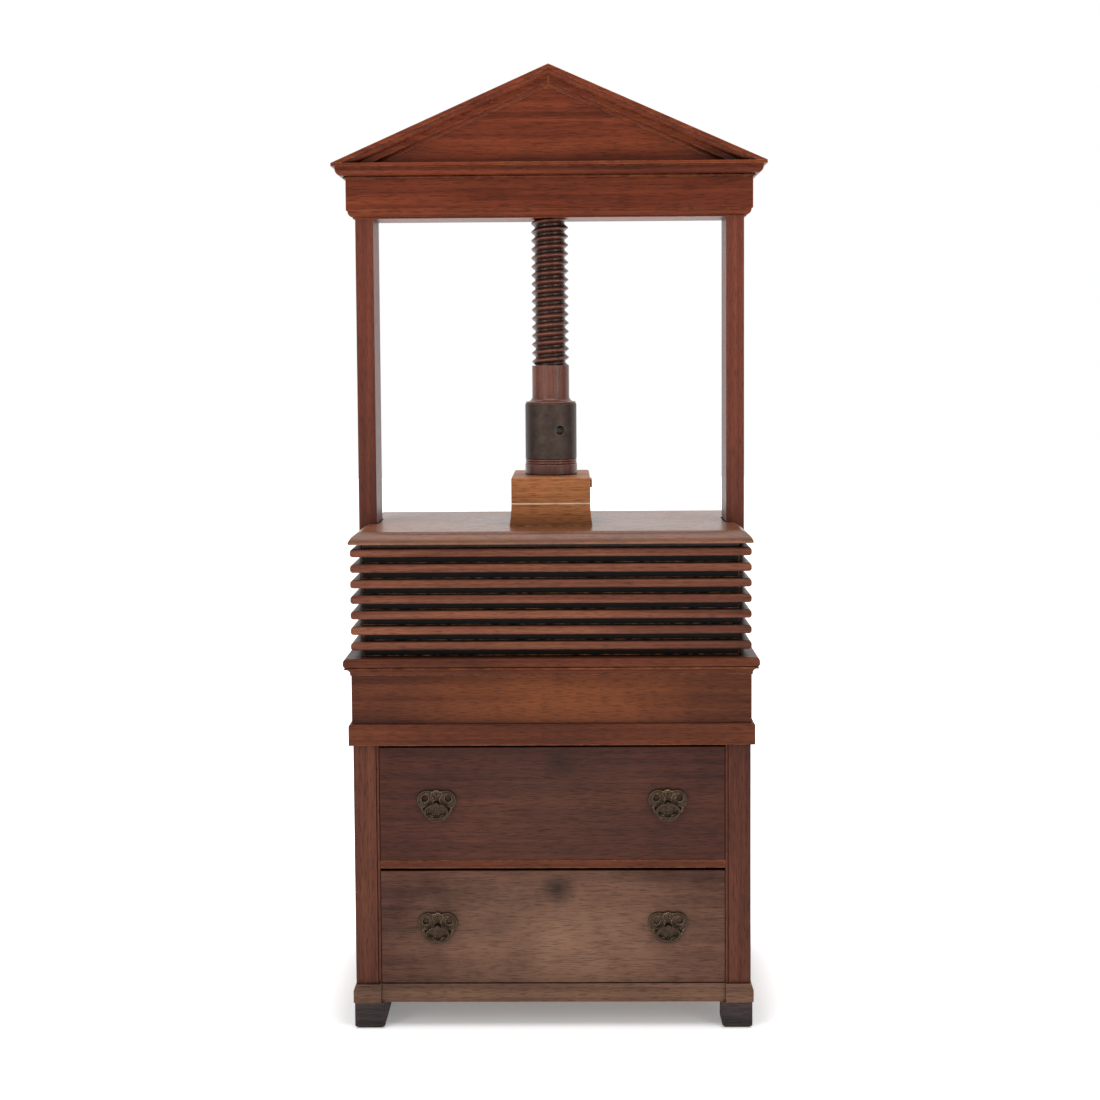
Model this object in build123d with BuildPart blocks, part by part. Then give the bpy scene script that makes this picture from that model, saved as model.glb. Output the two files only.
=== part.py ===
from build123d import *
import math
import os

# Linen press: a wooden screw press under a pediment, standing on a chest of two drawers.
# Millimetres. +Z is up, the front faces -Y, and the origin is on the floor under the middle.

# Lower case
FOOT_HEIGHT = 50.0
FOOT_WIDTH = 57.0
LONG_FOOT = 130.0
BASE_TOP = 85.0
PLINTH_WIDTH = 52.0
CASE_HALF = 372.5
CASE_FRONT = -215.0
CASE_BACK = 215.0
STILE_WIDTH = 42.0
STILE_DEPTH = 22.0
CASE_PANEL = 18.0
BACK_PANEL = 12.0
CASE_TOP = 542.0

# Drawers
BEAD_WIDTH = 6.0
DRAWER_HALF = 324.0
DRAWER_FRONT_DEPTH = 20.0
DRAWER_PANEL = 12.0
DRAWER_BACK_END = 185.0
LOWER_DRAWER_SPAN = (86.0, 301.0)
UPPER_DRAWER_SPAN = (321.5, 537.0)
RAIL_SPAN = (306.0, 321.0)
PULL_X = 217.0

# Belt, waist and press bed
BELT_TOP = 582.0
BELT_OUTSET = 7.5
WAIST_HALF = 374.0
WAIST_DEPTH_HALF = 216.0
COVE_BOTTOM = 674.0
BED_BOTTOM = 689.0
BED_TOP = 707.0
BED_HALF = 388.0
BED_DEPTH_HALF = 230.0

# Press boards
BOARD_COUNT = 7
BOARD_HALF = 374.0
BOARD_DEPTH_HALF = 216.0
BOARD_PITCH = 29.2
LIP_THICKNESS = 16.0
REBATE = 21.0
PLAY = 0.3
TOP_BOARD_BOTTOM = 919.5
TOP_BOARD_TOP = 941.5
TOP_BOARD_HALF = 377.5
TOP_BOARD_DEPTH_HALF = 220.0
THUMB_WIDTH = 21.0

# Frame
POST_OUTER = 378.0
POST_INNER = 343.0
POST_HALF_DEPTH = 48.5
TENON_OUTER = 362.0
TENON_HALF_DEPTH = 40.0
TENON_BOTTOM = 612.0
NOTCH_GAP = 3.0
BEAM_BOTTOM = 1537.0
BEAM_TOP = 1637.0
FRIEZE_HALF = 394.0
FRIEZE_DEPTH_HALF = 60.5
FRIEZE_TOP = 1613.0
CORNICE_TOP = 1641.0
CORNICE_OUTSET = 25.0
APEX = 1826.0

# Screw and saddle
SADDLE_HALF = 76.0
SADDLE_FLARE = 3.5
SADDLE_DEPTH_HALF = 110.0
SADDLE_SEAM = 985.0
SADDLE_TOP = 1035.0
PIVOT_RADIUS = 23.0
GROOVE_RADIUS = 17.0
KEY_SPAN = (1010.0, 1025.0)
KEY_HALF = 30.0
RING_RADIUS = 51.4
HEAD_RADIUS = 46.75
SLEEVE_RADIUS = 50.75
SLEEVE_SPAN = (1066.0, 1175.0)
SHANK_RADIUS = 36.6
CREST_RADIUS = 36.4
ROOT_RADIUS = 29.5
THREAD_PITCH = 17.0
THREAD_START = 1249.0
THREAD_TURNS = 23
THREAD_FOOT = 7.9
NUT_TURNS_BELOW = 16
NUT_TURNS = 7
THREAD_CLEARANCE = 0.8
TOMMY_HOLE_RADIUS = 9.0
TOMMY_HOLE_HEIGHT = 1123.5
TOMMY_HOLE_ANGLE = 21.0
PIN_HEIGHT = 1086.0
PIN_ANGLE = -21.5
PIN_RADIUS = 2.5

# Drop-ring pulls
PLATE_THICKNESS = 3.5
EYE_RISE = 3.5
EYE_RADIUS = 5.5
EYE_OUT = 13.0
WIRE_RADIUS = 2.3
RING_LENGTH = 47.0
RING_DROP = 31.0

# Depth of a quarter circle's bulge beyond its chord, as a part of its radius
QUARTER = 1 - math.cos(math.radians(45))


def block(x, y, z, mode=Mode.ADD):
    """Rectangular block between two values on each axis."""
    with Locations(((x[0] + x[1]) / 2, (y[0] + y[1]) / 2, (z[0] + z[1]) / 2)):
        Box(abs(x[1] - x[0]), abs(y[1] - y[0]), abs(z[1] - z[0]), mode=mode)


def both_sides(x, y, z, mode=Mode.ADD):
    """The same block on the left and on the right."""
    block(x, y, z, mode)
    block((-x[1], -x[0]), y, z, mode)


def trace(points):
    """Lines through (across, up) points. A third value makes an arc that bulges outwards by it."""
    for start, end in zip(points, points[1:]):
        if len(end) == 2:
            Line(start[:2], end)
        else:
            across = end[0] - start[0]
            up = end[1] - start[1]
            length = math.hypot(across, up)
            middle_x = (start[0] + end[0]) / 2 + end[2] * up / length
            middle_z = (start[1] + end[1]) / 2 - end[2] * across / length
            ThreePointArc(start[:2], (middle_x, middle_z), end[:2])


def moulded_slab(edge, half_width, half_depth):
    """Slab with one moulded edge on all four sides. edge(half) gives half of its section."""
    reach = 60.0
    with BuildSketch(Plane.XZ) as across:
        with BuildLine():
            trace(edge(half_width))
            mirror(about=Plane.YZ)
        make_face()
    extrude(across.sketch, amount=half_depth + reach, both=True)
    with BuildSketch(Plane.YZ) as along:
        with BuildLine():
            trace(edge(half_depth))
            mirror(about=Plane.YZ)
        make_face()
    extrude(along.sketch, amount=half_width + reach, both=True, mode=Mode.INTERSECT)


def rounded_edge(bottom, top, radius):
    """Edge with both corners rounded."""
    bulge = radius * QUARTER

    def edge(half):
        return [
            (0, bottom),
            (half - radius, bottom),
            (half, bottom + radius, bulge),
            (half, top - radius),
            (half - radius, top, bulge),
            (0, top),
        ]

    return edge


def notch_for_posts(z):
    """Notches at both ends, open at the end, for the posts."""
    side = POST_HALF_DEPTH + NOTCH_GAP
    both_sides((POST_INNER - NOTCH_GAP, BED_HALF + 20), (-side, side), z, Mode.SUBTRACT)


def write(builder, name):
    """Label a finished piece and write it."""
    builder.part.label = name
    export_step(builder.part, f"parts/{name}.step")


# ---------------------------------------------------------------- feet and base

foot_x = (CASE_HALF + 3 - FOOT_WIDTH, CASE_HALF + 3)
foot_front = CASE_FRONT - 5

with BuildPart() as feet:
    block(foot_x, (foot_front, foot_front + FOOT_WIDTH), (0, FOOT_HEIGHT))
    block((-foot_x[1], -foot_x[0]), (foot_front, foot_front + LONG_FOOT), (0, FOOT_HEIGHT))
    both_sides(foot_x, (CASE_BACK - FOOT_WIDTH, CASE_BACK), (0, FOOT_HEIGHT))
    chamfer(feet.edges().group_by(Axis.Z)[0], length=6)
    fillet(feet.edges().filter_by(Axis.Z), radius=3)
write(feet, "feet")

plinth_x = (CASE_HALF + 5 - PLINTH_WIDTH, CASE_HALF + 5)
plinth_front = (CASE_FRONT - 5, CASE_FRONT - 5 + PLINTH_WIDTH)
plinth_rear = (CASE_BACK - PLINTH_WIDTH, CASE_BACK)
with BuildPart() as plinth_blocks:
    both_sides(plinth_x, plinth_front, (FOOT_HEIGHT, BASE_TOP))
    both_sides(plinth_x, plinth_rear, (FOOT_HEIGHT, BASE_TOP))
    upper_rims = plinth_blocks.edges().group_by(Axis.Z)[-1]
    outer_rims = upper_rims.filter_by(Axis.Y).filter_by(lambda e: abs(e.center().X) > CASE_HALF)
    chamfer(outer_rims, length=12, length2=5)
write(plinth_blocks, "plinth_blocks")

with BuildPart() as base_rails:
    block((-plinth_x[0], plinth_x[0]), (CASE_FRONT - 1, CASE_FRONT + STILE_DEPTH), (FOOT_HEIGHT, BASE_TOP))
    side_rail = (CASE_HALF - CASE_PANEL, CASE_HALF + 1)
    both_sides(side_rail, (plinth_front[1], plinth_rear[0]), (FOOT_HEIGHT, BASE_TOP))
    block((-plinth_x[0], plinth_x[0]), (CASE_BACK - BACK_PANEL, CASE_BACK), (FOOT_HEIGHT, BASE_TOP))
write(base_rails, "base_rails")

# ---------------------------------------------------------------- lower case

inside = CASE_HALF - CASE_PANEL
behind_stile = CASE_FRONT + STILE_DEPTH
before_back = CASE_BACK - BACK_PANEL
stile_inner = CASE_HALF - STILE_WIDTH
case_floor = BASE_TOP + 8

with BuildPart() as case_bottom:
    block((-inside, inside), (behind_stile, before_back), (BASE_TOP, case_floor))
write(case_bottom, "case_bottom")

for side, name in ((-1, "left"), (1, "right")):
    with BuildPart() as stile:
        x = sorted((side * stile_inner, side * CASE_HALF))
        block(x, (CASE_FRONT, behind_stile), (BASE_TOP, CASE_TOP))
        front_corners = stile.edges().filter_by(Axis.Z).group_by(Axis.Y)[0]
        fillet(front_corners, radius=1.5)
    write(stile, f"stile_{name}")

    with BuildPart() as case_side:
        x = sorted((side * inside, side * CASE_HALF))
        block(x, (behind_stile, CASE_BACK), (BASE_TOP, CASE_TOP))
    write(case_side, f"case_side_{name}")

with BuildPart() as case_back:
    block((-inside, inside), (before_back, CASE_BACK), (BASE_TOP, CASE_TOP))
write(case_back, "case_back")

bead_inner = stile_inner - BEAD_WIDTH
with BuildPart() as stile_beads:
    both_sides((bead_inner, stile_inner), (CASE_FRONT + 2, behind_stile), (BASE_TOP, CASE_TOP))
    bead_corners = stile_beads.edges().filter_by(Axis.Z).group_by(Axis.Y)[0]
    fillet(bead_corners, radius=2)
write(stile_beads, "stile_beads")

rail_end = CASE_FRONT + 75
with BuildPart() as drawer_rail:
    block((-bead_inner, bead_inner), (CASE_FRONT + 2, behind_stile), RAIL_SPAN)
    block((-inside, inside), (behind_stile, rail_end), RAIL_SPAN)
write(drawer_rail, "drawer_rail")

guide_inner = DRAWER_HALF + 1
with BuildPart() as drawer_runners:
    both_sides((inside - 54, inside), (rail_end, before_back), (RAIL_SPAN[0] + 3, RAIL_SPAN[1]))
    guide_depth = (behind_stile, before_back)
    both_sides((guide_inner, inside), guide_depth, (case_floor, case_floor + 24))
    both_sides((guide_inner, inside), guide_depth, (RAIL_SPAN[1], RAIL_SPAN[1] + 24))
write(drawer_runners, "drawer_runners")

with BuildPart() as case_top:
    block((-inside, inside), (behind_stile, before_back), (CASE_TOP, CASE_TOP + 12))
write(case_top, "case_top")


def belt_edge(half):
    """Flat band with a small bevel along its top."""
    return [(0, CASE_TOP), (half, CASE_TOP), (half, BELT_TOP - 3.5), (half - 3, BELT_TOP, 0.6), (0, BELT_TOP)]


with BuildPart() as belt_moulding:
    moulded_slab(belt_edge, CASE_HALF + BELT_OUTSET, -CASE_FRONT + BELT_OUTSET)
    block((-inside, inside), (behind_stile, before_back), (CASE_TOP, BELT_TOP), Mode.SUBTRACT)
    rear = (CASE_BACK, CASE_BACK + 20)
    block((-BED_HALF, BED_HALF), rear, (CASE_TOP - 1, BELT_TOP + 1), Mode.SUBTRACT)
write(belt_moulding, "belt_moulding")

# ---------------------------------------------------------------- waist and press bed

waist_z = (BELT_TOP, BED_BOTTOM)
with BuildPart() as waist_front:
    waist_front_y = (-WAIST_DEPTH_HALF, -WAIST_DEPTH_HALF + CASE_PANEL)
    block((-WAIST_HALF, WAIST_HALF), waist_front_y, waist_z)
write(waist_front, "waist_front")

with BuildPart() as waist_back:
    waist_back_y = (WAIST_DEPTH_HALF - CASE_PANEL, WAIST_DEPTH_HALF)
    block((-WAIST_HALF, WAIST_HALF), waist_back_y, waist_z)
write(waist_back, "waist_back")

peg_height = (TENON_BOTTOM + BED_BOTTOM) / 2
peg_spots = [(-20, peg_height), (20, peg_height)]
with BuildPart() as waist_sides:
    both_sides((TENON_OUTER, WAIST_HALF), (waist_front_y[1], waist_back_y[0]), waist_z)
    with BuildSketch(Plane.YZ):
        with Locations(*peg_spots):
            Circle(5)
    extrude(amount=WAIST_HALF, both=True, mode=Mode.SUBTRACT)
write(waist_sides, "waist_sides")

with BuildPart() as post_pegs:
    with BuildSketch(Plane.YZ):
        with Locations(*peg_spots):
            Circle(5)
    extrude(amount=WAIST_HALF, both=True)
    block((-POST_INNER, POST_INNER), (-60, 60), waist_z, Mode.SUBTRACT)
write(post_pegs, "post_pegs")


def cove_edge(half):
    """Small fillet, a hollow that spreads outwards, and a fillet under the bed."""
    return [
        (0, COVE_BOTTOM),
        (half + 2, COVE_BOTTOM),
        (half + 2, COVE_BOTTOM + 3),
        (half + 11, BED_BOTTOM - 3, -2.4),
        (half + 12, BED_BOTTOM - 3),
        (half + 12, BED_BOTTOM),
        (0, BED_BOTTOM),
    ]


with BuildPart() as bed_cove_moulding:
    moulded_slab(cove_edge, WAIST_HALF, WAIST_DEPTH_HALF)
    hollow_y = (-WAIST_DEPTH_HALF, WAIST_DEPTH_HALF)
    block((-WAIST_HALF, WAIST_HALF), hollow_y, (COVE_BOTTOM, BED_BOTTOM), Mode.SUBTRACT)
write(bed_cove_moulding, "bed_cove_moulding")

tenon_y = (-TENON_HALF_DEPTH, TENON_HALF_DEPTH)
with BuildPart() as bed_board:
    moulded_slab(rounded_edge(BED_BOTTOM, BED_TOP, 7), BED_HALF, BED_DEPTH_HALF)
    both_sides((POST_INNER, TENON_OUTER), tenon_y, (BED_BOTTOM, BED_TOP), Mode.SUBTRACT)
write(bed_board, "bed_board")

# ---------------------------------------------------------------- posts and beam

post_y = (-POST_HALF_DEPTH, POST_HALF_DEPTH)
beam_tenon_y = (-30, 30)
beam_tenon_z = (BEAM_BOTTOM, BEAM_BOTTOM + 60)
for side, name in ((-1, "left"), (1, "right")):
    with BuildPart() as post:
        x = sorted((side * POST_INNER, side * POST_OUTER))
        tenon_x = sorted((side * POST_INNER, side * TENON_OUTER))
        block(x, post_y, (BED_TOP, BEAM_BOTTOM))
        fillet(post.edges().filter_by(Axis.Z), radius=2)
        block(tenon_x, tenon_y, (TENON_BOTTOM, BED_TOP))
        block(tenon_x, beam_tenon_y, beam_tenon_z)
        with BuildSketch(Plane.YZ):
            with Locations(*peg_spots):
                Circle(5)
        extrude(amount=side * WAIST_HALF, mode=Mode.SUBTRACT)
    write(post, f"post_{name}")


def thread(extra, start, turns):
    """Right-hand single-start ridge: a blunt V swept up a helix, its foot sunk into the core."""
    crest = CREST_RADIUS + extra
    foot = ROOT_RADIUS + extra - 1
    with BuildPart() as ridge:
        with BuildLine() as path:
            Helix(THREAD_PITCH, turns * THREAD_PITCH, ROOT_RADIUS, center=(0, 0, start))
        with BuildSketch(Plane.XZ) as section:
            with BuildLine():
                Polyline(
                    (foot, start - THREAD_FOOT),
                    (crest - 0.7, start - 1.6),
                    (crest, start - 0.8),
                    (crest, start + 0.8),
                    (crest - 0.7, start + 1.6),
                    (foot, start + THREAD_FOOT),
                    close=True,
                )
            make_face()
        sweep(section.sketch, path=path.line, is_frenet=True)
    return ridge.part


nut_start = THREAD_START + (NUT_TURNS_BELOW - 1) * THREAD_PITCH
with BuildPart() as nut_beam:
    block((-POST_OUTER, POST_OUTER), post_y, (BEAM_BOTTOM, BEAM_TOP))
    both_sides((POST_INNER, TENON_OUTER), beam_tenon_y, beam_tenon_z, Mode.SUBTRACT)
    add(thread(THREAD_CLEARANCE, nut_start, NUT_TURNS + 2), mode=Mode.SUBTRACT)
    with BuildSketch(Plane.XY.offset(BEAM_BOTTOM)) as bore:
        Circle(ROOT_RADIUS + THREAD_CLEARANCE)
    extrude(bore.sketch, amount=BEAM_TOP - BEAM_BOTTOM, mode=Mode.SUBTRACT)
write(nut_beam, "nut_beam")


def frieze_edge(half):
    """Face of the frieze, stepping in by a bead and a quarter round to its lower edge."""
    return [
        (0, BEAM_BOTTOM),
        (half - 12, BEAM_BOTTOM),
        (half - 12, BEAM_BOTTOM + 3),
        (half - 3, BEAM_BOTTOM + 12, 2.4),
        (half - 3, BEAM_BOTTOM + 14),
        (half, BEAM_BOTTOM + 17, 0.8),
        (half, FRIEZE_TOP),
        (0, FRIEZE_TOP),
    ]


frieze_z = (BEAM_BOTTOM, FRIEZE_TOP)
with BuildPart() as frieze_front:
    moulded_slab(frieze_edge, FRIEZE_HALF, FRIEZE_DEPTH_HALF)
    block((-FRIEZE_HALF, FRIEZE_HALF), (-POST_HALF_DEPTH, 80), frieze_z, Mode.SUBTRACT)
write(frieze_front, "frieze_front")

with BuildPart() as frieze_returns:
    moulded_slab(frieze_edge, FRIEZE_HALF, FRIEZE_DEPTH_HALF)
    block((-POST_OUTER, POST_OUTER), (-80, 80), frieze_z, Mode.SUBTRACT)
    block((-FRIEZE_HALF, FRIEZE_HALF), (-80, -POST_HALF_DEPTH), frieze_z, Mode.SUBTRACT)
    block((-FRIEZE_HALF, FRIEZE_HALF), (POST_HALF_DEPTH, 80), frieze_z, Mode.SUBTRACT)
write(frieze_returns, "frieze_returns")


def cornice_edge(half):
    """Bead, a broad quarter round, a hollow and a square fillet at the top."""
    return [
        (0, FRIEZE_TOP),
        (half + 2, FRIEZE_TOP),
        (half + 2, FRIEZE_TOP + 5, 2.5),
        (half + 8, FRIEZE_TOP + 5),
        (half + 18, FRIEZE_TOP + 17, 3.2),
        (half + 18, CORNICE_TOP - 8),
        (half + 22, CORNICE_TOP - 6, -0.8),
        (half + CORNICE_OUTSET, CORNICE_TOP - 6),
        (half + CORNICE_OUTSET, CORNICE_TOP),
        (0, CORNICE_TOP),
    ]


cornice_z = (FRIEZE_TOP - 1, CORNICE_TOP + 1)
with BuildPart() as cornice:
    moulded_slab(cornice_edge, FRIEZE_HALF, FRIEZE_DEPTH_HALF)
    block((-POST_OUTER, POST_OUTER), (-POST_HALF_DEPTH, 120), cornice_z, Mode.SUBTRACT)
    block((-460, 460), (POST_HALF_DEPTH, 120), cornice_z, Mode.SUBTRACT)
write(cornice, "cornice")

# ---------------------------------------------------------------- pediment

cornice_tip = FRIEZE_HALF + CORNICE_OUTSET
rake_angle = math.degrees(math.atan2(APEX - CORNICE_TOP, cornice_tip))
rake_length = math.hypot(APEX - CORNICE_TOP, cornice_tip)
tympanum_back = -POST_HALF_DEPTH

with BuildPart() as tympanum:
    with BuildSketch(Plane.XZ.offset(POST_HALF_DEPTH)):
        with BuildLine():
            Polyline((-cornice_tip, CORNICE_TOP), (cornice_tip, CORNICE_TOP), (0, APEX), close=True)
        make_face()
    extrude(amount=FRIEZE_DEPTH_HALF - POST_HALF_DEPTH)
write(tympanum, "tympanum")

# Section of the raking moulding: outwards from the tympanum, and down from the roof line.
rake_section = [
    (0, 0),
    (CORNICE_OUTSET, 0),
    (CORNICE_OUTSET, 8),
    (21, 8),
    (9, 19, 2.6),
    (9, 29),
    (6, 29),
    (1, 37, -1.2),
    (0, 37),
    (0, 0),
]
rake_down = Vector(1, 0, 0).rotate(Axis.Y, rake_angle)
apex_point = Vector(0, -FRIEZE_DEPTH_HALF, APEX)
rake_plane = Plane(origin=apex_point - rake_down * 60, x_dir=(0, -1, 0), z_dir=rake_down)
with BuildPart() as raking_cornice_right:
    with BuildSketch(rake_plane):
        with BuildLine():
            trace(rake_section)
        make_face()
    extrude(amount=rake_length + 120)
    block((-200, 0), (-120, 0), (CORNICE_TOP, APEX + 100), Mode.SUBTRACT)
    block((-600, 600), (-120, 0), (CORNICE_TOP - 150, CORNICE_TOP), Mode.SUBTRACT)
write(raking_cornice_right, "raking_cornice_right")

with BuildPart() as raking_cornice_left:
    mirror(raking_cornice_right.part, about=Plane.YZ)
write(raking_cornice_left, "raking_cornice_left")

with BuildPart() as glue_blocks:
    for centre in (110, 270):
        both_sides((centre - 20, centre + 20), (tympanum_back, tympanum_back + 28), (BEAM_TOP, BEAM_TOP + 28))
write(glue_blocks, "glue_blocks")

# ---------------------------------------------------------------- loose press boards

stack_height = BOARD_COUNT * BOARD_PITCH
for number in range(1, BOARD_COUNT + 1):
    bottom = BED_TOP + (BOARD_COUNT - number) * BOARD_PITCH + PLAY
    top = bottom + BOARD_PITCH - PLAY
    lip_bottom = top - LIP_THICKNESS
    with BuildPart() as press_board:
        moulded_slab(rounded_edge(lip_bottom, top, 6), BOARD_HALF, BOARD_DEPTH_HALF)
        core_x = BOARD_HALF - REBATE
        core_y = BOARD_DEPTH_HALF - REBATE
        block((-core_x, core_x), (-core_y, core_y), (bottom, lip_bottom))
        notch_for_posts((bottom, top))
    write(press_board, f"press_board_{number}")


def thumb_edge(half):
    """Broad thumb moulding that runs down to a thin lower edge."""
    return [
        (0, TOP_BOARD_BOTTOM),
        (half - 1, TOP_BOARD_BOTTOM),
        (half, TOP_BOARD_BOTTOM + 3),
        (half - THUMB_WIDTH, TOP_BOARD_TOP, 3.6),
        (0, TOP_BOARD_TOP),
    ]


with BuildPart() as top_board:
    moulded_slab(thumb_edge, TOP_BOARD_HALF, TOP_BOARD_DEPTH_HALF)
    core_bottom = BED_TOP + stack_height + PLAY
    block((-core_x, core_x), (-core_y, core_y), (core_bottom, TOP_BOARD_BOTTOM))
    notch_for_posts((core_bottom, TOP_BOARD_TOP))
write(top_board, "top_board")

# ---------------------------------------------------------------- saddle and garter key


def saddle_outline(bottom, bottom_half, top):
    """Half of the saddle block's front outline, spreading a little towards the bottom."""
    return [(0, bottom), (bottom_half, bottom), (bottom_half, bottom + 3), (SADDLE_HALF, top, -0.8), (0, top)]


with BuildPart() as saddle_lower:
    with BuildSketch(Plane.XZ):
        with BuildLine():
            trace(saddle_outline(TOP_BOARD_TOP, SADDLE_HALF + SADDLE_FLARE, SADDLE_SEAM))
            mirror(about=Plane.YZ)
        make_face()
    extrude(amount=SADDLE_DEPTH_HALF, both=True)
    fillet(saddle_lower.edges().filter_by(Axis.Y).group_by(Axis.Z)[-1], radius=1.5)
write(saddle_lower, "saddle_lower")

key_end = SADDLE_HALF + 4.5
key_start = -22.0
with BuildPart() as saddle_upper:
    saddle_y = (-SADDLE_DEPTH_HALF, SADDLE_DEPTH_HALF)
    block((-SADDLE_HALF, SADDLE_HALF), saddle_y, (SADDLE_SEAM, SADDLE_TOP))
    chamfer(saddle_upper.edges().group_by(Axis.Z)[-1], length=2)
    with BuildSketch(Plane.XY.offset(SADDLE_SEAM)):
        Circle(PIVOT_RADIUS + 0.6)
    extrude(amount=SADDLE_TOP - SADDLE_SEAM, mode=Mode.SUBTRACT)
    block((key_start, SADDLE_HALF + 1), (-KEY_HALF, KEY_HALF), KEY_SPAN, Mode.SUBTRACT)
write(saddle_upper, "saddle_upper")

with BuildPart() as garter_key:
    block((key_start, key_end), (-KEY_HALF, KEY_HALF), KEY_SPAN)
    slot_half = GROOVE_RADIUS + 1
    block((key_start, 0), (-slot_half, slot_half), KEY_SPAN, Mode.SUBTRACT)
    with BuildSketch(Plane.XY.offset(KEY_SPAN[0])):
        Circle(slot_half)
    extrude(amount=KEY_SPAN[1] - KEY_SPAN[0], mode=Mode.SUBTRACT)
write(garter_key, "garter_key")

# ---------------------------------------------------------------- screw


def radial_plane(angle, height):
    """Plane through the axis whose normal points out at an angle from the front, towards +X."""
    turn = math.radians(angle)
    return Plane(origin=(0, 0, height), z_dir=(math.sin(turn), -math.cos(turn), 0))


def radial_hole(angle, height, radius, inner, outer):
    """Round hole along a radius, from one distance to another."""
    with BuildSketch(radial_plane(angle, height).offset(inner)) as mouth:
        Circle(radius)
    extrude(mouth.sketch, amount=outer - inner, mode=Mode.SUBTRACT)


hole_reach = 60.0
pin_inner = 40.0
ring_top = 1056.0
shank_top = THREAD_START + 1
screw_top = THREAD_START + THREAD_TURNS * THREAD_PITCH
with BuildPart() as press_screw:
    with BuildSketch(Plane.XZ):
        with BuildLine():
            trace([
                (0, SADDLE_SEAM + 0.5),
                (PIVOT_RADIUS, SADDLE_SEAM + 0.5),
                (PIVOT_RADIUS, KEY_SPAN[0] - 1),
                (GROOVE_RADIUS, KEY_SPAN[0] - 1),
                (GROOVE_RADIUS, KEY_SPAN[1] + 1),
                (PIVOT_RADIUS, KEY_SPAN[1] + 1),
                (PIVOT_RADIUS, SADDLE_TOP + PLAY),
                (RING_RADIUS - 1.5, SADDLE_TOP + PLAY),
                (RING_RADIUS, SADDLE_TOP + 2, 0.4),
                (RING_RADIUS, ring_top - 1.5),
                (RING_RADIUS - 1.5, ring_top, 0.4),
                (49, ring_top),
                (49, ring_top + 5, 1.8),
                (49, SLEEVE_SPAN[0], 1.8),
                (HEAD_RADIUS, SLEEVE_SPAN[0]),
                (HEAD_RADIUS, SLEEVE_SPAN[1]),
                (48, SLEEVE_SPAN[1]),
                (48, SLEEVE_SPAN[1] + 4, 1.6),
                (45, SLEEVE_SPAN[1] + 4),
                (SHANK_RADIUS, SLEEVE_SPAN[1] + 15, -2.6),
                (SHANK_RADIUS, shank_top),
                (ROOT_RADIUS, shank_top),
                (ROOT_RADIUS, screw_top + 5),
                (0, screw_top + 5),
                (0, SADDLE_SEAM + 0.5),
            ])
        make_face()
    revolve(axis=Axis.Z)
    add(thread(0, THREAD_START - THREAD_PITCH, THREAD_TURNS + 2))
    waste = (-2 * ROOT_RADIUS, 2 * ROOT_RADIUS)
    block(waste, waste, (screw_top, screw_top + 2 * THREAD_PITCH), Mode.SUBTRACT)
    radial_hole(TOMMY_HOLE_ANGLE, TOMMY_HOLE_HEIGHT, TOMMY_HOLE_RADIUS, -hole_reach, hole_reach)
    radial_hole(PIN_ANGLE, PIN_HEIGHT, PIN_RADIUS, pin_inner, hole_reach)
write(press_screw, "press_screw")

with BuildPart() as screw_sleeve:
    with BuildSketch(Plane.XY.offset(SLEEVE_SPAN[0])):
        Circle(SLEEVE_RADIUS)
        Circle(HEAD_RADIUS, mode=Mode.SUBTRACT)
    extrude(amount=SLEEVE_SPAN[1] - SLEEVE_SPAN[0])
    chamfer(screw_sleeve.edges().filter_by(GeomType.CIRCLE).sort_by(SortBy.RADIUS)[-2:], length=1)
    radial_hole(TOMMY_HOLE_ANGLE, TOMMY_HOLE_HEIGHT, TOMMY_HOLE_RADIUS, -hole_reach, hole_reach)
    radial_hole(PIN_ANGLE, PIN_HEIGHT, PIN_RADIUS, pin_inner, hole_reach)
write(screw_sleeve, "screw_sleeve")

with BuildPart() as sleeve_pin:
    with BuildSketch(radial_plane(PIN_ANGLE, PIN_HEIGHT).offset(pin_inner)):
        Circle(PIN_RADIUS)
    extrude(amount=SLEEVE_RADIUS + 0.8 - pin_inner)
    fillet(sleeve_pin.edges().sort_by_distance((0, 0, PIN_HEIGHT))[-1], radius=0.8)
write(sleeve_pin, "sleeve_pin")

# ---------------------------------------------------------------- drawers and their pulls

drawer_front_y = (CASE_FRONT + 1, CASE_FRONT + 1 + DRAWER_FRONT_DEPTH)
plate_face = CASE_FRONT + 1 - PLATE_THICKNESS
ring_y = plate_face - 9.5
drawer_side_x = (DRAWER_HALF - 2 - DRAWER_PANEL, DRAWER_HALF - 2)
shank_hole = 2.6


def facing(y):
    """Upright plane at a distance in front of the middle, seen from the front."""
    return Plane(origin=(0, y, 0), x_dir=(1, 0, 0), z_dir=(0, -1, 0))


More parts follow.
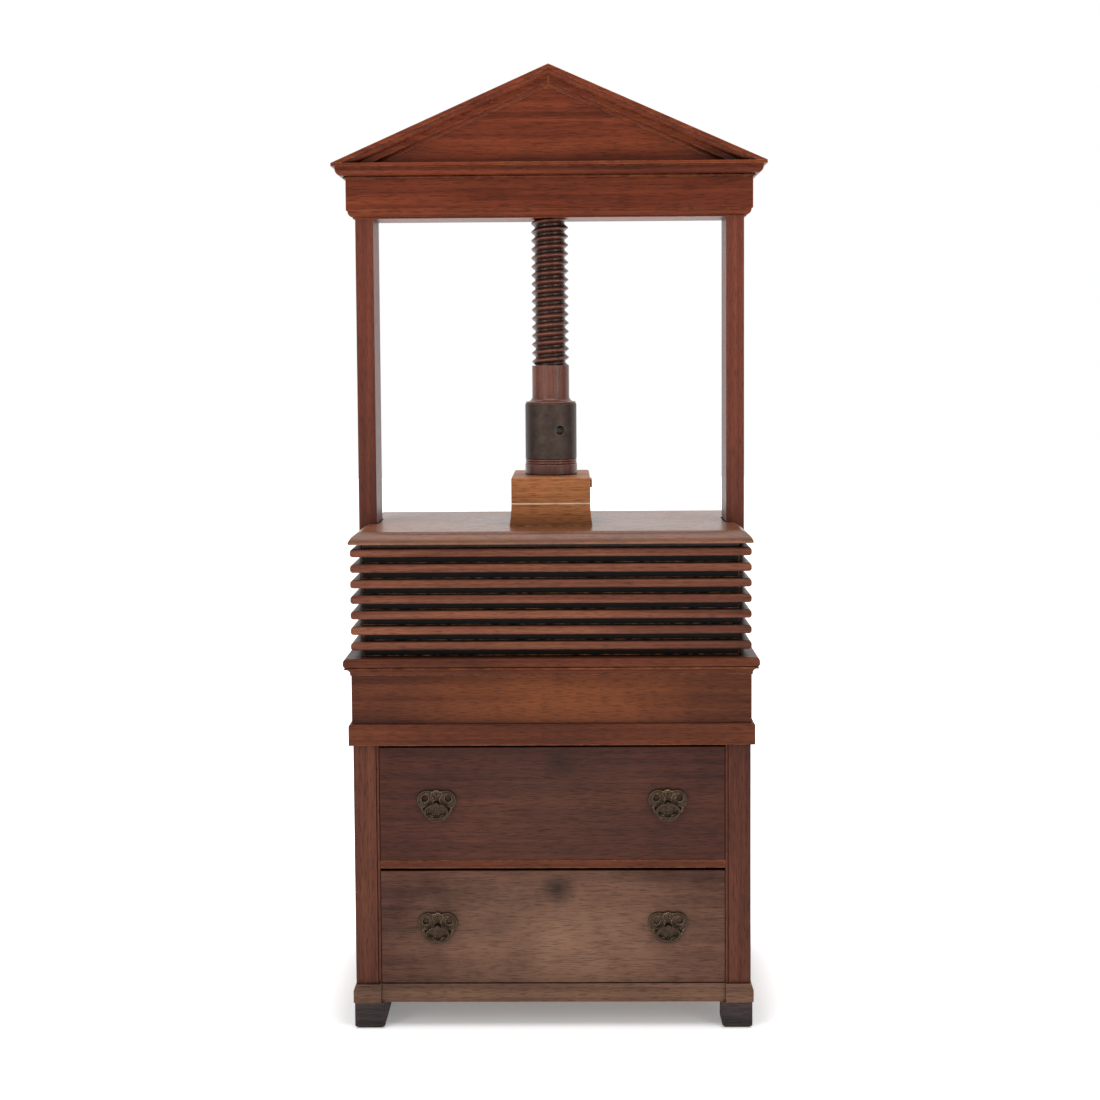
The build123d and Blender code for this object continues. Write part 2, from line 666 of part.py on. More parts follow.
drawers = (
    ("upper", UPPER_DRAWER_SPAN, RAIL_SPAN[1] + PLAY, 427.0),
    ("lower", LOWER_DRAWER_SPAN, case_floor + PLAY, 193.0),
)
for name, span, floor, pull_z in drawers:
    side_top = span[1] - 12
    eye_z = pull_z + EYE_RISE
    eye_spots = [(-PULL_X, eye_z), (PULL_X, eye_z)]

    with BuildPart() as drawer_front:
        block((-DRAWER_HALF, DRAWER_HALF), drawer_front_y, span)
        fillet(drawer_front.faces().sort_by(Axis.Y)[0].edges(), radius=1.5)
        with BuildSketch(facing(drawer_front_y[1])):
            with Locations(*eye_spots):
                Circle(shank_hole)
        extrude(amount=DRAWER_FRONT_DEPTH, mode=Mode.SUBTRACT)
    write(drawer_front, f"drawer_{name}_front")

    with BuildPart() as drawer_sides:
        both_sides(drawer_side_x, (drawer_front_y[1], DRAWER_BACK_END), (floor, side_top))
    write(drawer_sides, f"drawer_{name}_sides")

    back_y = (DRAWER_BACK_END - DRAWER_PANEL, DRAWER_BACK_END)
    with BuildPart() as drawer_back:
        block((-drawer_side_x[0], drawer_side_x[0]), back_y, (floor + 14, side_top - 8))
    write(drawer_back, f"drawer_{name}_back")

    with BuildPart() as drawer_bottom:
        bottom_y = (drawer_front_y[1], DRAWER_BACK_END)
        block((-drawer_side_x[0], drawer_side_x[0]), bottom_y, (floor + 6, floor + 14))
    write(drawer_bottom, f"drawer_{name}_bottom")

    with BuildPart() as pull_plates:
        with BuildSketch(facing(drawer_front_y[0])):
            for centre in (-PULL_X, PULL_X):
                with Locations((centre - 18, pull_z + 10), (centre + 18, pull_z + 10)):
                    Circle(18.75)
                with Locations((centre, pull_z - 4)):
                    Circle(27.3)
                with Locations((centre, pull_z + 22)):
                    Circle(8.5)
                with Locations((centre - 22, pull_z + 14), (centre + 22, pull_z + 14)):
                    Circle(7, mode=Mode.SUBTRACT)
                with Locations((centre - 21, pull_z - 6), (centre + 21, pull_z - 6)):
                    Circle(4, mode=Mode.SUBTRACT)
                with Locations((centre, pull_z + 22)):
                    Circle(2.2, mode=Mode.SUBTRACT)
            with Locations(*eye_spots):
                Circle(shank_hole, mode=Mode.SUBTRACT)
        extrude(amount=PLATE_THICKNESS)
    write(pull_plates, f"pull_plates_{name}")

    with BuildPart() as pull_eyebolts:
        with BuildSketch(facing(plate_face)):
            with Locations(*eye_spots):
                Circle(EYE_RADIUS)
        extrude(amount=EYE_OUT + 2)
        tips = pull_eyebolts.faces().sort_by(Axis.Y)[:2].edges()
        fillet(tips, radius=2)
        with BuildSketch(Plane.YZ):
            with Locations((ring_y, eye_z)):
                Circle(WIRE_RADIUS + 0.8)
        extrude(amount=PULL_X + 20, both=True, mode=Mode.SUBTRACT)
        with BuildSketch(facing(drawer_front_y[1])):
            with Locations(*eye_spots):
                Circle(shank_hole - 0.1)
        extrude(amount=drawer_front_y[1] - plate_face)
        with BuildSketch(facing(drawer_front_y[1] + 4)):
            with Locations(*eye_spots):
                RegularPolygon(7, 6)
        extrude(amount=4)
    write(pull_eyebolts, f"pull_eyebolts_{name}")

    for side, side_name in ((-1, "left"), (1, "right")):
        straight = (RING_LENGTH - RING_DROP) / 2
        bend = RING_DROP / 2 - WIRE_RADIUS
        with BuildPart() as pull_ring:
            with BuildLine(facing(ring_y)) as loop:
                left = side * PULL_X - straight
                right = side * PULL_X + straight
                low = eye_z - 2 * bend
                Line((left, eye_z), (right, eye_z))
                ThreePointArc((right, eye_z), (right + bend, eye_z - bend), (right, low))
                Line((right, low), (left, low))
                ThreePointArc((left, low), (left - bend, eye_z - bend), (left, eye_z))
            with BuildSketch(Plane(origin=(left, ring_y, eye_z), z_dir=(1, 0, 0))):
                Circle(WIRE_RADIUS)
            sweep(path=loop.wires()[0])
        write(pull_ring, f"pull_ring_{name}_{side_name}")
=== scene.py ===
import bmesh
import bpy
import math
from mathutils import Matrix, Vector


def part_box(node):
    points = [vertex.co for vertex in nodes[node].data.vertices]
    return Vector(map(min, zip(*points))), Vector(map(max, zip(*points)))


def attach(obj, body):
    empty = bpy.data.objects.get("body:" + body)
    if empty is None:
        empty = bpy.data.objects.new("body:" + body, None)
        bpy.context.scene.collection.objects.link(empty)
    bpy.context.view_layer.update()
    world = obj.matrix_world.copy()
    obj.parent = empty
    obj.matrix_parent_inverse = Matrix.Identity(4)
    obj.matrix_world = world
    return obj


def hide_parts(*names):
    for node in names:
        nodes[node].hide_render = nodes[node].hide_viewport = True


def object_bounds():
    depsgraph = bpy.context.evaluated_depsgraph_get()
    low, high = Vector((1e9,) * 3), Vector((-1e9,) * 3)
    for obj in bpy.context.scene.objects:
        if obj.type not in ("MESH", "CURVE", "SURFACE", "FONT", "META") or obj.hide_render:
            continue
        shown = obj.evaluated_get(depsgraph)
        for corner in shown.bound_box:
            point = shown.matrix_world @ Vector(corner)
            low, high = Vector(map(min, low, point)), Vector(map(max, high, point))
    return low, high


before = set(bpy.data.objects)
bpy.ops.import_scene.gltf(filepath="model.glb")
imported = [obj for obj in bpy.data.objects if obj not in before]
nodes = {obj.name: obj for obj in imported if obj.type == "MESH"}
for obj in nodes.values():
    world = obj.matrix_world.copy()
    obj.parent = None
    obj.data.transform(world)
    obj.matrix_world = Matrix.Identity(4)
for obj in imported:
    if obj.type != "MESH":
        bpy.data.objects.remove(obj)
cad_low, cad_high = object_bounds()


# ---------------------------------------------------------------- colours and shader helpers


def tone(red, green, blue):
    """Linear colour from display values of 0 to 255."""
    def linear(value):
        value = value / 255
        return value / 12.92 if value <= 0.04045 else ((value + 0.055) / 1.055) ** 2.4
    return (linear(red), linear(green), linear(blue), 1.0)


class Shader:
    """A material with short calls for its nodes."""

    def __init__(self, name):
        self.material = bpy.data.materials.new(name)
        self.material.use_nodes = True
        self.tree = self.material.node_tree
        self.tree.nodes.clear()
        self.output = self.tree.nodes.new("ShaderNodeOutputMaterial")
        self.bsdf = self.tree.nodes.new("ShaderNodeBsdfPrincipled")
        self.link(self.bsdf.outputs[0], self.output.inputs[0])
        self.place = self.tree.nodes.new("ShaderNodeTexCoord").outputs["Object"]

    def link(self, source, target):
        self.tree.links.new(source, target)

    def put(self, value, socket):
        """Link a socket or set a number or colour."""
        if isinstance(value, bpy.types.NodeSocket):
            self.link(value, socket)
        else:
            socket.default_value = value

    def math(self, operation, a, b=0.0, c=0.0, clamp=False):
        node = self.tree.nodes.new("ShaderNodeMath")
        node.operation = operation
        node.use_clamp = clamp
        for value, socket in zip((a, b, c), node.inputs):
            self.put(value, socket)
        return node.outputs[0]

    def split(self, vector):
        node = self.tree.nodes.new("ShaderNodeSeparateXYZ")
        self.link(vector, node.inputs[0])
        return node.outputs

    def join(self, x, y, z):
        node = self.tree.nodes.new("ShaderNodeCombineXYZ")
        for value, socket in zip((x, y, z), node.inputs):
            self.put(value, socket)
        return node.outputs[0]

    def noise(self, vector, scale, detail=4.0, rough=0.55, distortion=0.0):
        node = self.tree.nodes.new("ShaderNodeTexNoise")
        self.link(vector, node.inputs["Vector"])
        node.inputs["Scale"].default_value = scale
        node.inputs["Detail"].default_value = detail
        node.inputs["Roughness"].default_value = rough
        node.inputs["Distortion"].default_value = distortion
        return node.outputs["Fac"]

    def ramp(self, value, *stops):
        """Colour or grey ramp from (position, colour or number) stops."""
        node = self.tree.nodes.new("ShaderNodeValToRGB")
        self.put(value, node.inputs[0])
        elements = node.color_ramp.elements
        while len(elements) < len(stops):
            elements.new(0.5)
        for element, (position, colour) in zip(elements, stops):
            element.position = position
            element.color = colour if isinstance(colour, tuple) else (colour, colour, colour, 1.0)
        return node.outputs[0]

    def mix(self, factor, a, b, blend="MIX"):
        node = self.tree.nodes.new("ShaderNodeMix")
        node.data_type = "RGBA"
        node.blend_type = blend
        self.put(factor, node.inputs[0])
        self.put(a, node.inputs[6])
        self.put(b, node.inputs[7])
        return node.outputs[2]

    def edges(self, radius):
        """1 along outer and inner edges, 0 on open faces."""
        bevel = self.tree.nodes.new("ShaderNodeBevel")
        bevel.samples = 4
        bevel.inputs["Radius"].default_value = radius
        geometry = self.tree.nodes.new("ShaderNodeNewGeometry")
        dot = self.tree.nodes.new("ShaderNodeVectorMath")
        dot.operation = "DOT_PRODUCT"
        self.link(bevel.outputs[0], dot.inputs[0])
        self.link(geometry.outputs["Normal"], dot.inputs[1])
        turned = self.math("SUBTRACT", 1.0, dot.outputs["Value"])
        return self.math("MULTIPLY", turned, 6.0, clamp=True)

    def shade_and_dirt(self, distance):
        """1 in open places, falling towards 0 in corners and under ledges; darkens colour there as painted shade and
        dirt.
        """
        node = self.tree.nodes.new("ShaderNodeAmbientOcclusion")
        node.samples = 4
        node.inputs["Distance"].default_value = distance
        return node.outputs["AO"]

    def bump(self, height, strength, distance):
        node = self.tree.nodes.new("ShaderNodeBump")
        node.inputs["Strength"].default_value = strength
        node.inputs["Distance"].default_value = distance
        self.link(height, node.inputs["Height"])
        self.link(node.outputs[0], self.bsdf.inputs["Normal"])


def along(shader, axis):
    """Coordinates with the grain along the first one."""
    x, y, z = shader.split(shader.place)
    return {"X": (x, y, z), "Y": (y, x, z), "Z": (z, x, y)}[axis]


def wood(name, dark, mid, light, axis="X", gloss=0.34, wear_and_highlight=0.6, wear_and_highlight_tone=None, patch=None, seed=0.0, shine=0.1):
    """Old polished wood. Grain runs along axis, edges are painted lighter as rubbed wear and highlight, corners get
    painted shade and dirt.

    gloss is the roughness; the next two set how far the edges are painted towards their tone, as rubbed wear and
    painted highlight; patch adds what one piece alone shows, seed shifts the grain and shine is the specular level.
    """
    s = Shader(name)
    run, side, up = along(s, axis)
    offset = s.math("ADD", side, seed)
    broad = s.join(s.math("MULTIPLY", run, 1.1), s.math("MULTIPLY", offset, 7.0), s.math("MULTIPLY", up, 7.0))
    streak = s.join(s.math("MULTIPLY", run, 1.6), s.math("MULTIPLY", offset, 95.0), s.math("MULTIPLY", up, 95.0))
    pore = s.join(s.math("MULTIPLY", run, 45.0), s.math("MULTIPLY", offset, 620.0), s.math("MULTIPLY", up, 620.0))
    figure = s.noise(broad, 1.0, 5.0, 0.55, 0.9)
    stripes = s.noise(streak, 1.0, 6.0, 0.62, 0.4)
    pores = s.noise(pore, 1.0, 2.0, 0.5)
    blend = s.math("ADD", s.math("MULTIPLY", figure, 0.45), s.math("MULTIPLY", stripes, 0.55))
    colour = s.ramp(blend, (0.33, dark), (0.5, mid), (0.69, light))
    if patch:
        colour = patch(s, colour)
    lines = s.ramp(pores, (0.34, 0.42), (0.5, 1.0))
    colour = s.mix(0.75, colour, lines, "MULTIPLY")
    blotch = s.noise(s.place, 4.5, 6.0, 0.65)
    colour = s.mix(1.0, colour, s.ramp(blotch, (0.3, 0.74), (0.62, 1.08)), "MULTIPLY")
    # Corners, recesses and under ledges darkened: painted shade and dirt.
    corner_shade_and_dirt = s.ramp(s.shade_and_dirt(0.04), (0.3, 0.26), (0.85, 1.0))
    colour = s.mix(1.0, colour, corner_shade_and_dirt, "MULTIPLY")
    # Edges painted lighter towards the edge tone: rubbed wear and painted highlight.
    scuffs = s.ramp(s.noise(s.place, 55.0, 5.0, 0.7), (0.42, 0.0), (0.62, 1.0))
    rubbed_and_highlit = s.math("MULTIPLY", s.math("MULTIPLY", s.edges(0.0028), scuffs), wear_and_highlight, clamp=True)
    colour = s.mix(rubbed_and_highlit, colour, wear_and_highlight_tone or light)
    dents = s.ramp(s.noise(s.place, 130.0, 3.0, 0.6), (0.70, 0.0), (0.76, 1.0))
    colour = s.mix(s.math("MULTIPLY", dents, 0.5), colour, dark)
    s.link(colour, s.bsdf.inputs["Base Color"])
    dull = s.math("MULTIPLY_ADD", blotch, 0.22, gloss - 0.11)
    dull = s.math("MULTIPLY_ADD", s.math("SUBTRACT", 1.0, lines), 0.15, dull)
    s.link(dull, s.bsdf.inputs["Roughness"])
    s.bsdf.inputs["Specular IOR Level"].default_value = shine
    height = s.math("ADD", s.math("MULTIPLY", lines, 0.5), s.math("MULTIPLY", stripes, 0.5))
    height = s.math("ADD", height, s.math("MULTIPLY", scuffs, -0.25))
    s.bump(height, 0.35, 0.0006)
    return s.material


def spot(s, centre, size):
    """1 at a place on the front, fading out over size (across, up)."""
    x, y, z = s.split(s.place)
    across = s.math("DIVIDE", s.math("SUBTRACT", x, centre[0]), size[0])
    up = s.math("DIVIDE", s.math("SUBTRACT", z, centre[1]), size[1])
    reach = s.math("SQRT", s.math("ADD", s.math("MULTIPLY", across, across), s.math("MULTIPLY", up, up)))
    wobble = s.noise(s.place, 22.0, 3.0, 0.6)
    reach = s.math("ADD", reach, s.math("MULTIPLY_ADD", wobble, 0.5, -0.25))
    return s.math("SUBTRACT", 1.0, s.ramp(reach, (0.0, 0.0), (1.0, 1.0)))


ARRIS = tone(168, 104, 66)

frame_wood = wood("mahogany_frame", tone(70, 29, 17), tone(103, 46, 27), tone(128, 64, 36), "X", wear_and_highlight_tone=ARRIS)
post_wood = wood(
    "mahogany_posts", tone(68, 28, 18), tone(92, 42, 28), tone(112, 56, 38), "Z", gloss=0.36, seed=3.0, shine=0.2,
)
stile_wood = wood("mahogany_stiles", tone(62, 31, 22), tone(82, 44, 31), tone(100, 57, 40), "Z", seed=5.0)
side_wood = wood("mahogany_sides", tone(70, 36, 26), tone(98, 52, 36), tone(122, 70, 46), "Z", seed=7.0)
cross_wood = wood("mahogany_returns", tone(70, 29, 17), tone(100, 46, 27), tone(126, 64, 36), "Y", wear_and_highlight_tone=ARRIS)
belt_wood = wood("mahogany_belt", tone(58, 27, 15), tone(86, 42, 24), tone(108, 60, 35), "X", seed=9.0, wear_and_highlight_tone=ARRIS)
back_wood = wood("plain_backing", tone(92, 66, 44), tone(128, 96, 64), tone(152, 120, 84), "Z", gloss=0.6)
lining_wood = wood("drawer_lining", tone(120, 92, 60), tone(154, 122, 84), tone(180, 148, 106), "Y", gloss=0.6)


seam_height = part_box("saddle_lower")[1].z
SEAM_HALF = 0.0013


def seam_highlight(s, colour):
    """Painted highlight along the joint of the two saddle blocks, where the top of the lower block's ledge catches
    the light.
    """
    x, y, z = s.split(s.place)
    away = s.math("ABSOLUTE", s.math("SUBTRACT", z, seam_height))
    return s.mix(s.math("LESS_THAN", away, SEAM_HALF), colour, tone(206, 176, 146))


saddle_wood = wood(
    "saddle", tone(104, 60, 34), tone(146, 91, 55), tone(170, 112, 70), "X", gloss=0.42,
    wear_and_highlight=0.8, wear_and_highlight_tone=tone(206, 164, 124), patch=seam_highlight, seed=2.0,
)


def thread_shade_and_highlight(s, colour):
    """Thread roots painted dark as shade, crests painted lighter red as highlight. The ramp runs over the radius in
    decimetres.
    """
    x, y, z = s.split(s.place)
    radius = s.math("SQRT", s.math("ADD", s.math("MULTIPLY", x, x), s.math("MULTIPLY", y, y)))
    decimetres = s.math("MULTIPLY", radius, 10.0)
    depth = s.ramp(decimetres, (0.296, 0.16), (0.335, 0.55), (0.362, 1.25))
    return s.mix(1.0, colour, depth, "MULTIPLY")


screw_wood = wood(
    "screw", tone(68, 34, 25), tone(84, 45, 34), tone(102, 58, 44), "Z", gloss=0.26,
    wear_and_highlight_tone=tone(156, 98, 74), patch=thread_shade_and_highlight, shine=0.35,
)


def warm_middle(s, colour):
    """The waist board's lighter orange figure towards the middle."""
    glow = spot(s, (0.02, 0.628), (0.33, 0.10))
    return s.mix(s.math("MULTIPLY", glow, 0.7), colour, tone(122, 66, 34))


waist_wood = wood(
    "mahogany_waist", tone(50, 22, 13), tone(76, 37, 22), tone(100, 55, 31), "X", patch=warm_middle, seed=11.0,
)


def drawer_patch(stain_z, middle_z, paleness):
    """Faded middle of a drawer front and the dark stain where its lock was."""
    def patch(s, colour):
        pale = spot(s, (0.02, middle_z), (0.36, 0.19))
        colour = s.mix(s.math("MULTIPLY", pale, paleness), colour, tone(132, 98, 78))
        stain = spot(s, (0.012, stain_z), (0.040, 0.034))
        return s.mix(s.math("MULTIPLY", stain, 1.0, clamp=True), colour, tone(44, 28, 25))
    return patch


upper_low, upper_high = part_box("drawer_upper_front")
lower_low, lower_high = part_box("drawer_lower_front")
upper_wood = wood(
    "mahogany_upper_drawer", tone(46, 23, 18), tone(66, 34, 25), tone(86, 46, 34), "X",
    patch=drawer_patch(upper_high.z - 0.030, upper_low.z + 0.10, 0.10), seed=13.0,
)
lower_wood = wood(
    "mahogany_lower_drawer", tone(50, 29, 23), tone(74, 45, 35), tone(98, 65, 50), "X",
    patch=drawer_patch(lower_high.z - 0.034, lower_low.z + 0.08, 0.75), seed=17.0,
)
base_wood = wood("mahogany_base", tone(66, 46, 36), tone(100, 72, 57), tone(126, 93, 74), "X", gloss=0.5, seed=19.0)
foot_wood = wood(
    "foot_black", tone(38, 34, 34), tone(56, 48, 47), tone(78, 64, 60), "X", gloss=0.5,
    wear_and_highlight=1.0, wear_and_highlight_tone=tone(124, 66, 50),
)
CORE_HALF = (0.3585, 0.2)


def shaded_core(s, colour):
    """The boards' set-back cores, painted black as shade behind the lips. CORE_HALF is just outside them (across,
    deep).
    """
    x, y, z = s.split(s.place)
    past_end = s.math("GREATER_THAN", s.math("ABSOLUTE", x), CORE_HALF[0])
    past_side = s.math("GREATER_THAN", s.math("ABSOLUTE", y), CORE_HALF[1])
    lip = s.math("MAXIMUM", past_end, past_side)
    return s.mix(lip, tone(22, 15, 14), colour)


board_wood = wood(
    "press_boards", tone(66, 34, 24), tone(98, 56, 42), tone(138, 84, 60), "X", gloss=0.3, wear_and_highlight=1.0,
    wear_and_highlight_tone=tone(206, 140, 92), seed=23.0, patch=shaded_core,
)
top_wood = wood(
    "top_board", tone(76, 44, 29), tone(112, 68, 45), tone(142, 90, 58), "X", gloss=0.27,
    wear_and_highlight=0.7, wear_and_highlight_tone=tone(180, 118, 78), seed=29.0, shine=0.35,
)


def metal(name, dark, mid, rubbed_lit_tone, gloss, scale=60.0, metallic=0.85):
    """Patinated cast or rolled metal, with its edges painted bright as rubbed wear and highlight."""
    s = Shader(name)
    cloud = s.noise(s.place, scale, 6.0, 0.65)
    colour = s.ramp(cloud, (0.35, dark), (0.65, mid))
    # Edges painted bright: rubbed wear and painted highlight.
    rub_and_highlight = s.math("MULTIPLY", s.edges(0.0012), s.ramp(s.noise(s.place, scale * 3, 3.0), (0.35, 0.2), (0.6, 1.0)))
    colour = s.mix(s.math("MULTIPLY", rub_and_highlight, 0.8, clamp=True), colour, rubbed_lit_tone)
    s.link(colour, s.bsdf.inputs["Base Color"])
    s.bsdf.inputs["Metallic"].default_value = metallic
    s.link(s.math("MULTIPLY_ADD", cloud, 0.3, gloss - 0.15), s.bsdf.inputs["Roughness"])
    s.bump(s.noise(s.place, scale * 4, 4.0, 0.6), 0.25, 0.0004)
    return s.material


sleeve_metal = metal("sleeve_bronze", tone(52, 41, 36), tone(68, 56, 50), tone(126, 104, 88), 0.44)
pull_metal = metal("aged_brass", tone(36, 26, 21), tone(66, 50, 38), tone(196, 170, 126), 0.38, scale=160.0)

materials = {
    frame_wood: "nut_beam frieze_front cornice raking_cornice_left raking_cornice_right tympanum",
    cross_wood: "frieze_returns",
    post_wood: "post_left post_right",
    stile_wood: "stile_left stile_right stile_beads",
    side_wood: "case_side_left case_side_right waist_sides post_pegs",
    belt_wood: "belt_moulding bed_cove_moulding drawer_rail bed_board",
    waist_wood: "waist_front",
    upper_wood: "drawer_upper_front",
    lower_wood: "drawer_lower_front",
    base_wood: "base_rails plinth_blocks",
    foot_wood: "feet",
    top_wood: "top_board",
    saddle_wood: "saddle_upper saddle_lower garter_key",
    screw_wood: "press_screw",
    sleeve_metal: "screw_sleeve sleeve_pin",
    back_wood: "case_back waist_back case_bottom case_top drawer_runners glue_blocks",
    lining_wood: "drawer_upper_sides drawer_upper_back drawer_upper_bottom "
                 "drawer_lower_sides drawer_lower_back drawer_lower_bottom",
    pull_metal: "pull_plates_upper pull_plates_lower pull_eyebolts_upper pull_eyebolts_lower "
                "pull_ring_upper_left pull_ring_upper_right pull_ring_lower_left pull_ring_lower_right",
}
for material, names in materials.items():
    for name in names.split():
        nodes[name].data.materials.clear()
        nodes[name].data.materials.append(material)
BOARD_COUNT = 7
for number in range(1, BOARD_COUNT + 1):
    board = nodes[f"press_board_{number}"]
    board.data.materials.clear()
    board.data.materials.append(board_wood)


# ---------------------------------------------------------------- softened edges


def soften(name, width, segments=2):
    """Small rounded arrises, as hand work and long use leave them."""
    bevel = nodes[name].modifiers.new("arris", "BEVEL")
    bevel.width = width
    bevel.segments = segments
    bevel.limit_method = "ANGLE"
    bevel.angle_limit = math.radians(50)
    bevel.use_clamp_overlap = True
    bevel.harden_normals = False


ARRIS_WIDTH = 0.0012
for name in ("base_rails", "waist_front", "drawer_rail", "saddle_upper", "tympanum", "nut_beam"):
    soften(name, ARRIS_WIDTH)


# ---------------------------------------------------------------- cast pulls


MM = 0.001
PLATE_MIDDLE = 31.3 * MM
RELIEF_RADIUS = 1.15 * MM
RING_POINTS = 40
PLATE_CIRCLES = (((-18, 10), 18.75), ((18, 10), 18.75), ((0, -4), 27.3), ((0, 22), 8.5))


def plate_outline(inset, count=96):
    """Outline of the backplate, drawn in from its edge, in millimetres from its middle."""
    points = []
    for step in range(count):
        angle = 2 * math.pi * step / count
        ray = (math.cos(angle), math.sin(angle))
        reach = 0.0
        for (across, up), radius in PLATE_CIRCLES:
            toward = across * ray[0] + up * ray[1]
            inside = radius * radius - across * across - up * up + toward * toward
            if inside > 0:
                reach = max(reach, toward + math.sqrt(inside))
        points.append(((reach - inset) * ray[0], (reach - inset) * ray[1], 0.0))
    return points


def scroll(centre, start, end, wide, tight, rise=0.4, count=26):
    """Spiral of cast scrollwork from one angle to another, tightening as it goes."""
    points = []
    for step in range(count):
        part = step / (count - 1)
        angle = math.radians(start + (end - start) * part)
        reach = wide + (tight - wide) * part
        points.append((centre[0] + reach * math.cos(angle), centre[1] + reach * math.sin(angle), rise))
    return points


def circle(centre, radius, rise=0.6, count=28):
    """Round bead about one of the plate's openings."""
    points = []
    for step in range(count):
        angle = 2 * math.pi * step / count
        points.append((centre[0] + radius * math.cos(angle), centre[1] + radius * math.sin(angle), rise))
    return points


def wire(name, runs, thickness):
    """Curve object of round wire. runs: (points, closed, relative thickness or a function of the part run)."""
    data = bpy.data.curves.new(name, "CURVE")
    data.dimensions = "3D"
    data.bevel_depth = thickness
    data.bevel_resolution = 3
    data.resolution_u = 6
    data.use_fill_caps = True
    for points, closed, weight in runs:
        spline = data.splines.new("NURBS")
        spline.points.add(len(points) - 1)
        for index, (point, target) in enumerate(zip(points, spline.points)):
            target.co = (*point, 1.0)
            target.radius = weight(index / len(points)) if callable(weight) else weight
        spline.order_u = 3
        spline.use_cyclic_u = closed
        spline.use_endpoint_u = not closed
    piece = bpy.data.objects.new(name, data)
    bpy.context.scene.collection.objects.link(piece)
    return piece


def on_plate(points, centre_x, centre_z, face_y):
    """Millimetres on the plate (across, up, out) to metres in the object's frame."""
    return [(centre_x + a * MM, face_y - out * MM, centre_z + up * MM) for a, up, out in points]


def cast_relief(drawer, side_name, centre_x, centre_z, face_y):
    """Raised rim and scrollwork of one backplate."""
    runs = [(plate_outline(1.5), True, 1.25), (circle((0, 22), 5.4), True, 1.2), (circle((0, 3.5), 7.6), True, 1.0)]
    for side in (-1, 1):
        def turned(points):
            return [(side * a, up, out) for a, up, out in points]
        runs.append((turned(scroll((20, 12), 205, -160, 14.5, 4.2)), False, lambda part: 1.15 - 0.5 * part))
        runs.append((turned(scroll((20, -8), 60, -230, 9.5, 2.6)), False, lambda part: 1.05 - 0.4 * part))
        runs.append((turned([(2.5, -24, 0.4), (8, -20, 0.7), (13, -17.5, 0.4), (16, -19, 0.2)]), False, 0.9))
        runs.append((turned([(5, 14, 0.8), (9, 17, 0.9), (10, 22, 0.6), (7.5, 27, 0.2)]), False, 0.9))
    for lean in (-14, -7, 0, 7, 14):
        foot = (lean * 0.45, -15.5, 0.3)
        runs.append(([foot, (lean * 0.75, -20, 1.0), (lean * 0.95, -25.5, 0.3)], False, lambda part: 0.8 + part))
    placed = [(on_plate(points, centre_x, centre_z, face_y), closed, weight) for points, closed, weight in runs]
    relief = wire(f"pull_relief_{drawer}_{side_name}", placed, RELIEF_RADIUS)
    relief.data.materials.append(pull_metal)
    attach(relief, f"drawer_{drawer}")


def drop_ring(drawer, side_name, centre_x):
    """Oval ring, thin where it passes the eye and heavier at the bottom."""
    node = f"pull_ring_{drawer}_{side_name}"
    low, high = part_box(node)
    wire_radius = (high.y - low.y) / 2
    middle_y = (high.y + low.y) / 2
    half_wide = (high.x - low.x) / 2 - wire_radius
    half_tall = (high.z - low.z) / 2 - wire_radius
    centre_z = (high.z + low.z) / 2
    points = []
    for step in range(RING_POINTS):
        angle = 2 * math.pi * step / RING_POINTS + math.pi / 2
        points.append((centre_x + half_wide * math.cos(angle), middle_y, centre_z + half_tall * math.sin(angle)))
    run = (points, True, lambda part: 0.92 + 0.42 * math.sin(math.pi * part) ** 2)
    ring = wire(f"drop_{drawer}_{side_name}", [run], wire_radius)
    ring.data.bevel_resolution = 5
    ring.data.materials.append(pull_metal)
    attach(ring, f"ring_{drawer}_{side_name}")
    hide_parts(node)


for drawer in ("upper", "lower"):
    plate_low, plate_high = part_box(f"pull_plates_{drawer}")
    plate_middle = plate_low.z + PLATE_MIDDLE
    for side_name in ("left", "right"):
        ring_low, ring_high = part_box(f"pull_ring_{drawer}_{side_name}")
        pull_x = (ring_low.x + ring_high.x) / 2
        cast_relief(drawer, side_name, pull_x, plate_middle, plate_low.y)
        drop_ring(drawer, side_name, pull_x)


# ---------------------------------------------------------------- studio


def area(name, place, target, size, power):
    """Large soft light aimed at a point."""
    light = bpy.data.lights.new(name, "AREA")
    light.shape = "RECTANGLE"
    light.size, light.size_y = size
    light.energy = power
    lamp = bpy.data.objects.new(name, light)
    lamp.location = place
    lamp.rotation_euler = (Vector(target) - Vector(place)).to_track_quat("-Z", "Y").to_euler()
    bpy.context.scene.collection.objects.link(lamp)


AMBIENT = 0.46
FLOOR_SIZE = 14
CASE_FOOTPRINT = (0.40, 0.19)
middle = Vector((0, 0, cad_high.z / 2))
area("key_left", (-2.6, -3.2, 2.4), middle, (1.2, 2.4), 29)
area("key_right", (2.8, -3.0, 2.0), middle, (1.2, 2.4), 25)
area("overhead", (0, -0.3, 4.2), (0, 0, 0), (4.0, 4.0), 150)

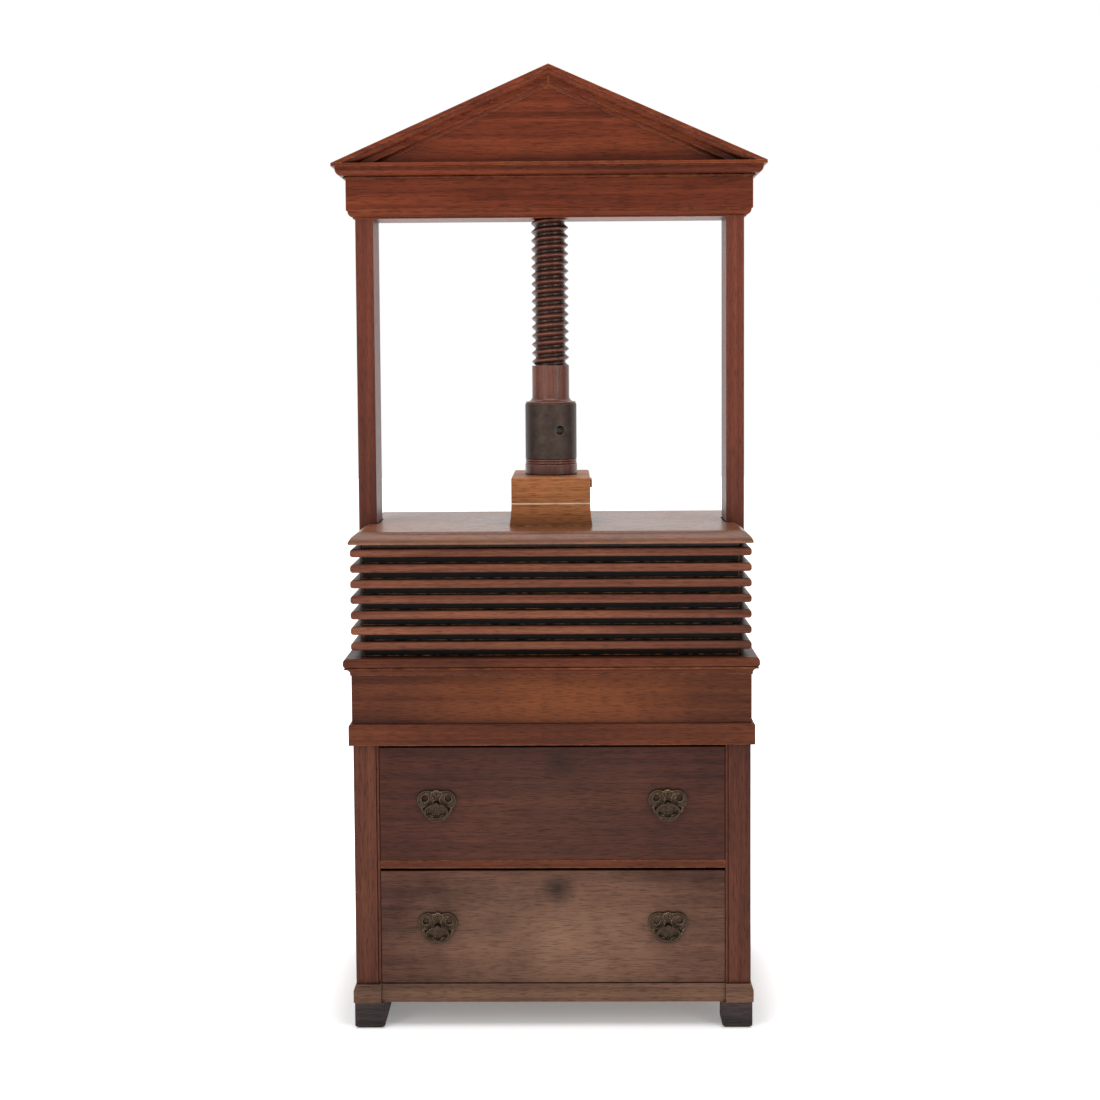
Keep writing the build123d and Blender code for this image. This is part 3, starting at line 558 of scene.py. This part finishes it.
world = bpy.data.worlds.new("studio")
world.use_nodes = True
sky = world.node_tree.nodes["Background"]
sky.inputs["Color"].default_value = (1, 1, 1, 1)
ray = world.node_tree.nodes.new("ShaderNodeLightPath")
seen = world.node_tree.nodes.new("ShaderNodeMapRange")
seen.inputs["To Min"].default_value = 1.0
seen.inputs["To Max"].default_value = AMBIENT
world.node_tree.links.new(ray.outputs["Is Diffuse Ray"], seen.inputs["Value"])
world.node_tree.links.new(seen.outputs[0], sky.inputs["Strength"])
bpy.context.scene.world = world
bpy.context.scene.view_settings.view_transform = "Standard"

floor_mesh = bmesh.new()
bmesh.ops.create_grid(floor_mesh, x_segments=1, y_segments=1, size=FLOOR_SIZE)
floor_data = bpy.data.meshes.new("studio_floor")
floor_mesh.to_mesh(floor_data)
floor = bpy.data.objects.new("studio_floor", floor_data)
bpy.context.scene.collection.objects.link(floor)
paper = Shader("studio_paper")
grain = paper.ramp(paper.noise(paper.place, 3.0), (0.0, 0.86), (1.0, 0.88))
paper.link(grain, paper.bsdf.inputs["Base Color"])
paper.bsdf.inputs["Roughness"].default_value = 1.0
paper.bsdf.inputs["Specular IOR Level"].default_value = 0.0
across, deep, up = paper.split(paper.place)
# The floor glows, dimmer near the case: a painted shadow under and around it.
beside = paper.math("SUBTRACT", paper.math("ABSOLUTE", across), CASE_FOOTPRINT[0])
before = paper.math("SUBTRACT", paper.math("ABSOLUTE", deep), CASE_FOOTPRINT[1])
floor_glow_painted_shadow = paper.ramp(paper.math("MAXIMUM", beside, before), (0.0, 0.20), (0.14, 0.8), (0.5, 1.0))
paper.link(floor_glow_painted_shadow, paper.bsdf.inputs["Emission Color"])
paper.bsdf.inputs["Emission Strength"].default_value = 1.0
floor.data.materials.append(paper.material)


# ---------------------------------------------------------------- camera

CAMERA_PLACE = Vector((0.037, -3.166, 1.26))
CAMERA_TURN = 0.71
CAMERA_TILT = 3.25
CAMERA_ROLL = -0.38
LENS = 52.2
SHIFT = -0.09
camera_data = bpy.data.cameras.new("camera")
camera_data.lens = LENS
camera_data.sensor_width = 36.0
camera_data.shift_y = SHIFT
camera = bpy.data.objects.new("camera", camera_data)
camera.location = CAMERA_PLACE
turn = Matrix.Rotation(math.radians(CAMERA_TURN), 4, "Z")
tilt = Matrix.Rotation(math.radians(90 - CAMERA_TILT), 4, "X")
roll = Matrix.Rotation(math.radians(CAMERA_ROLL), 4, "Z")
camera.rotation_euler = (turn @ tilt @ roll).to_euler()
bpy.context.scene.collection.objects.link(camera)
bpy.context.scene.camera = camera
